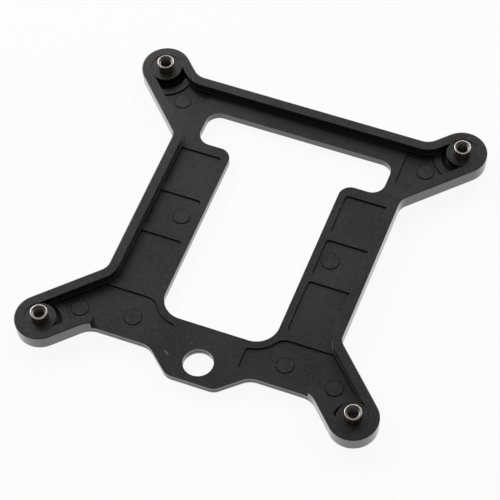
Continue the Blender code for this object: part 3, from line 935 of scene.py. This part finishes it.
def plate_mesh():
    """The plate's mesh with its last sharp edges slightly rounded, as it comes out of the mould."""
    tools = bpy.data.collections.new("cutters")
    bpy.context.scene.collection.children.link(tools)
    solid = plate_solid(tools)
    sharp = bpy.data.objects.new("sharp_plate", finished_mesh(solid))
    tools.objects.link(sharp)
    round_edges(sharp, EDGE_ROUND, clamp=False)
    mesh = finished_mesh(sharp)
    mesh.name = "moulded_plate"
    mesh.transform(solid.matrix_world)
    for tool in list(tools.objects):
        bpy.data.objects.remove(tool, do_unlink=True)
    bpy.data.collections.remove(tools)
    return mesh


def level_areas(edit):
    """The mesh's level faces, sorted by height."""
    areas = {}
    for face in edit.faces:
        if is_level(face):
            areas.setdefault(round(face.verts[0].co.z / LEVEL_STEP), []).append(face)
    return areas


def inner_triangles(edges, triangles, edge_sources):
    """The triangles of a filled hull that lie inside its outlines, by how many outlines are crossed."""
    crossed = {frozenset(edge): len(source) % 2 for edge, source in zip(edges, edge_sources)}
    owners = {}
    for i, triangle in enumerate(triangles):
        for k in range(3):
            owners.setdefault(frozenset((triangle[k - 1], triangle[k])), []).append(i)
    inside = {}
    waiting = []
    for edge, sides in owners.items():
        if len(sides) == 1 and sides[0] not in inside:
            inside[sides[0]] = crossed[edge]
            waiting.append(sides[0])
    while waiting:
        i = waiting.pop()
        for k in range(3):
            edge = frozenset((triangles[i][k - 1], triangles[i][k]))
            for other in owners[edge]:
                if other not in inside:
                    inside[other] = inside[i] ^ crossed[edge]
                    waiting.append(other)
    return [triangle for i, triangle in enumerate(triangles) if inside.get(i)]


def refill(edit, faces):
    """Replaces level faces by triangles that fill the same outline, holes left open."""
    members = set(faces)
    rim = [edge for face in faces for edge in face.edges
           if sum(neighbour in members for neighbour in edge.link_faces) == 1]
    corners = list(dict.fromkeys(vert for edge in rim for vert in edge.verts))
    index = {vert: i for i, vert in enumerate(corners)}
    lines = [(index[edge.verts[0]], index[edge.verts[1]]) for edge in rim]
    height = corners[0].co.z
    flat = [vert.co.to_2d() / FILL_UNIT for vert in corners]
    filled = delaunay_2d_cdt(flat, lines, [], FILL_WHOLE_HULL, FILL_LIMIT)
    places, edges, triangles, sources, edge_sources, _ = filled
    bmesh.ops.delete(edit, geom=faces, context="FACES_ONLY")
    verts = [corners[source[0]] if source else edit.verts.new((*(place * FILL_UNIT), height))
             for place, source in zip(places, sources)]
    for triangle in inner_triangles(edges, triangles, edge_sources):
        edit.faces.new([verts[i] for i in triangle])


def plain_normal(vert):
    """A vertex's normal, taken from the level faces and walls at it before its rounded edges."""
    plain = Vector()
    rounded_sum = Vector()
    for loop in vert.link_loops:
        face = loop.face
        part = face.normal * face.calc_area() * loop.calc_angle()
        if abs(face.normal.z) < WALL_SLOPE or abs(face.normal.z) > LEVEL_SLOPE:
            plain += part
        else:
            rounded_sum += part
    return (plain if plain.length > 0 else rounded_sum).normalized()


def refill_level_faces(mesh):
    """Fills every level face of the mesh anew, and returns the normals of its vertices."""
    edit = bmesh.new()
    edit.from_mesh(mesh)
    for faces in level_areas(edit).values():
        refill(edit, faces)
    bmesh.ops.delete(edit, geom=[edge for edge in edit.edges if not edge.link_faces], context="EDGES")
    bmesh.ops.triangulate(edit, faces=[face for face in edit.faces if len(face.verts) > 4])
    bmesh.ops.recalc_face_normals(edit, faces=edit.faces)
    edit.verts.index_update()
    normals = [plain_normal(vert) for vert in edit.verts]
    edit.to_mesh(mesh)
    edit.free()
    return normals


def make_plate(material):
    mesh = plate_mesh()
    normals = refill_level_faces(mesh)
    mesh.materials.clear()
    mesh.materials.append(material)
    mesh.shade_smooth()
    mesh.normals_split_custom_set_from_vertices(normals)
    plate = add_object("moulded_plate", mesh)
    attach(plate, "root")
    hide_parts("backplate")


# Inserts

def thread_radius(angle, height):
    """Radius of the threaded bore at an angle and height, a sharp groove cut between flat crests."""
    turn = (height / THREAD_PITCH - angle / (2 * math.pi)) % 1.0
    away = abs(turn - 0.5) * THREAD_PITCH
    depth = THREAD_MAJOR - THREAD_MINOR
    flank = (away - THREAD_FLAT / 2) / THREAD_FLANK
    return THREAD_MAJOR - depth * min(max(flank, 0.0), 1.0)


def hexagon_radius(angle):
    """Distance from the head's middle to its side, at an angle."""
    step = (angle - HEAD_START_ANGLE) % (2 * HEAD_HALF_ANGLE)
    return HEAD_FLATS / 2 / math.cos(step - HEAD_HALF_ANGLE)


def bore_rows(low, high):
    """Rings of the bore from the bottom up, widened to a mouth at each end."""
    rows = []
    count = round((high - low) / THREAD_PITCH * THREAD_ROWS)
    for i in range(count + 1):
        z = low + (high - low) * i / count
        rows.append(("bore", max(MOUTH_RADIUS - (high - z), MOUTH_RADIUS - (z - low)), z))
    return rows


def sleeve_rows(low, high):
    """Rings of the sleeve from the inside of its top, over the round and down to the head."""
    flat_end = SLEEVE_RADIUS - SLEEVE_ROUND
    round_start = high - SLEEVE_ROUND
    rows = [("round", MOUTH_RADIUS + ROW_GAP, high), ("round", flat_end - ROW_GAP, high)]
    for i in range(SLEEVE_ROUND_STEPS + 1):
        turn = math.pi / 2 * i / SLEEVE_ROUND_STEPS
        radius = flat_end + SLEEVE_ROUND * math.sin(turn)
        rows.append(("round", radius, round_start + SLEEVE_ROUND * math.cos(turn)))
    for z in (round_start - ROW_GAP, round_start - WIDE_ROW_GAP, low + WIDE_ROW_GAP, low + ROW_GAP):
        rows.append(("round", SLEEVE_RADIUS, z))
    rows.append(("round", SLEEVE_RADIUS + ROW_GAP, low))
    return rows


def head_rows(low, high):
    """Rings of the head from its top, over both chamfers and in to the bore's mouth."""
    inner = HEAD_CORNER_RADIUS - HEAD_CHAMFER_REACH
    rows = [("head", inner, high)]
    for i in range(1, HEAD_CHAMFER_STEPS + 1):
        part = i / HEAD_CHAMFER_STEPS
        radius = HEAD_CORNER_RADIUS - HEAD_CHAMFER_REACH * (1 - part)
        rows.append(("head", radius, high - HEAD_CHAMFER_DROP * part))
    for i in range(HEAD_CHAMFER_STEPS):
        part = i / HEAD_CHAMFER_STEPS
        radius = HEAD_CORNER_RADIUS - HEAD_CHAMFER_REACH * part
        rows.append(("head", radius, low + HEAD_CHAMFER_DROP * (1 - part)))
    rows += [("head", inner, low), ("round", MOUTH_RADIUS + ROW_GAP, low)]
    return rows


def insert_mesh(low, high, material):
    """Threaded sleeve with a chamfered hexagonal head, as one closed surface."""
    head_top = low + HEAD_HEIGHT
    edit = bmesh.new()
    rings = []
    for kind, radius, z in bore_rows(low, high) + sleeve_rows(head_top, high) + head_rows(low, head_top):
        ring = []
        for k in range(INSERT_SIDES):
            angle = 2 * math.pi * k / INSERT_SIDES
            reach = radius
            if kind == "bore":
                reach = max(radius, thread_radius(angle, z))
            if kind == "head":
                reach = min(radius, hexagon_radius(angle))
            ring.append(edit.verts.new((reach * math.cos(angle), reach * math.sin(angle), z)))
        rings.append(ring)
    for i, ring in enumerate(rings):
        ahead = rings[(i + 1) % len(rings)]
        for k in range(INSERT_SIDES):
            after = (k + 1) % INSERT_SIDES
            edit.faces.new((ring[k], ahead[k], ahead[after], ring[after]))
    bmesh.ops.recalc_face_normals(edit, faces=edit.faces)
    mesh = bpy.data.meshes.new("threaded_insert")
    edit.to_mesh(mesh)
    edit.free()
    mesh.materials.append(material)
    mesh.shade_smooth()
    mesh.set_sharp_from_angle(angle=INSERT_SMOOTH_ANGLE)
    return mesh


def make_inserts(material):
    """One insert in each ear, all of one mesh, turned by different numbers of the head's sides."""
    low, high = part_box("insert_front_left")
    mesh = insert_mesh(low.z, high.z, material)
    for place, turns in INSERT_TURNS.items():
        low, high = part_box("insert_" + place)
        insert = add_object("threaded_insert_" + place, mesh)
        insert.location = ((low.x + high.x) / 2, (low.y + high.y) / 2, 0.0)
        insert.rotation_euler.z = 2 * math.pi * turns / HEAD_SIDES
        bpy.context.view_layer.update()
        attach(insert, "root")
        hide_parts("insert_" + place)


# Surroundings

def make_table(material):
    half = TABLE_SIZE / 2
    mesh = bpy.data.meshes.new("table")
    corners = [(-half, -half, -TABLE_DROP), (half, -half, -TABLE_DROP),
               (half, half, -TABLE_DROP), (-half, half, -TABLE_DROP)]
    mesh.from_pydata(corners, [], [(0, 1, 2, 3)])
    mesh.materials.append(material)
    add_object("table", mesh)


def make_room():
    world = bpy.data.worlds.new("room")
    world.use_nodes = True
    background = world.node_tree.nodes["Background"]
    background.inputs["Color"].default_value = WHITE
    background.inputs["Strength"].default_value = ROOM_LEVEL
    bpy.context.scene.world = world


def make_lamps():
    for name, azimuth, elevation, watts in LAMPS:
        turn = math.radians(azimuth)
        rise = math.radians(elevation)
        way = Vector((math.cos(turn) * math.cos(rise), math.sin(turn) * math.cos(rise), math.sin(rise)))
        lamp = bpy.data.lights.new(name, "AREA")
        lamp.shape = "SQUARE"
        lamp.size = LAMP_SIZE
        lamp.energy = watts
        holder = bpy.data.objects.new(name, lamp)
        holder.location = way * LAMP_DISTANCE
        holder.rotation_euler = way.to_track_quat("Z", "Y").to_euler()
        bpy.context.scene.collection.objects.link(holder)


def make_camera():
    data = bpy.data.cameras.new("camera")
    data.sensor_width = CAMERA_SENSOR
    data.lens = CAMERA_LENS
    camera = bpy.data.objects.new("camera", data)
    camera.location = CAMERA_PLACE
    camera.rotation_euler = [math.radians(angle) for angle in CAMERA_TURN]
    bpy.context.scene.collection.objects.link(camera)
    bpy.context.scene.camera = camera


def main():
    make_plate(plastic_material())
    make_inserts(metal_material(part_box("insert_front_left")[1].z))
    make_table(table_material())
    make_room()
    make_lamps()
    make_camera()
    bpy.context.scene.view_settings.view_transform = "Standard"


main()
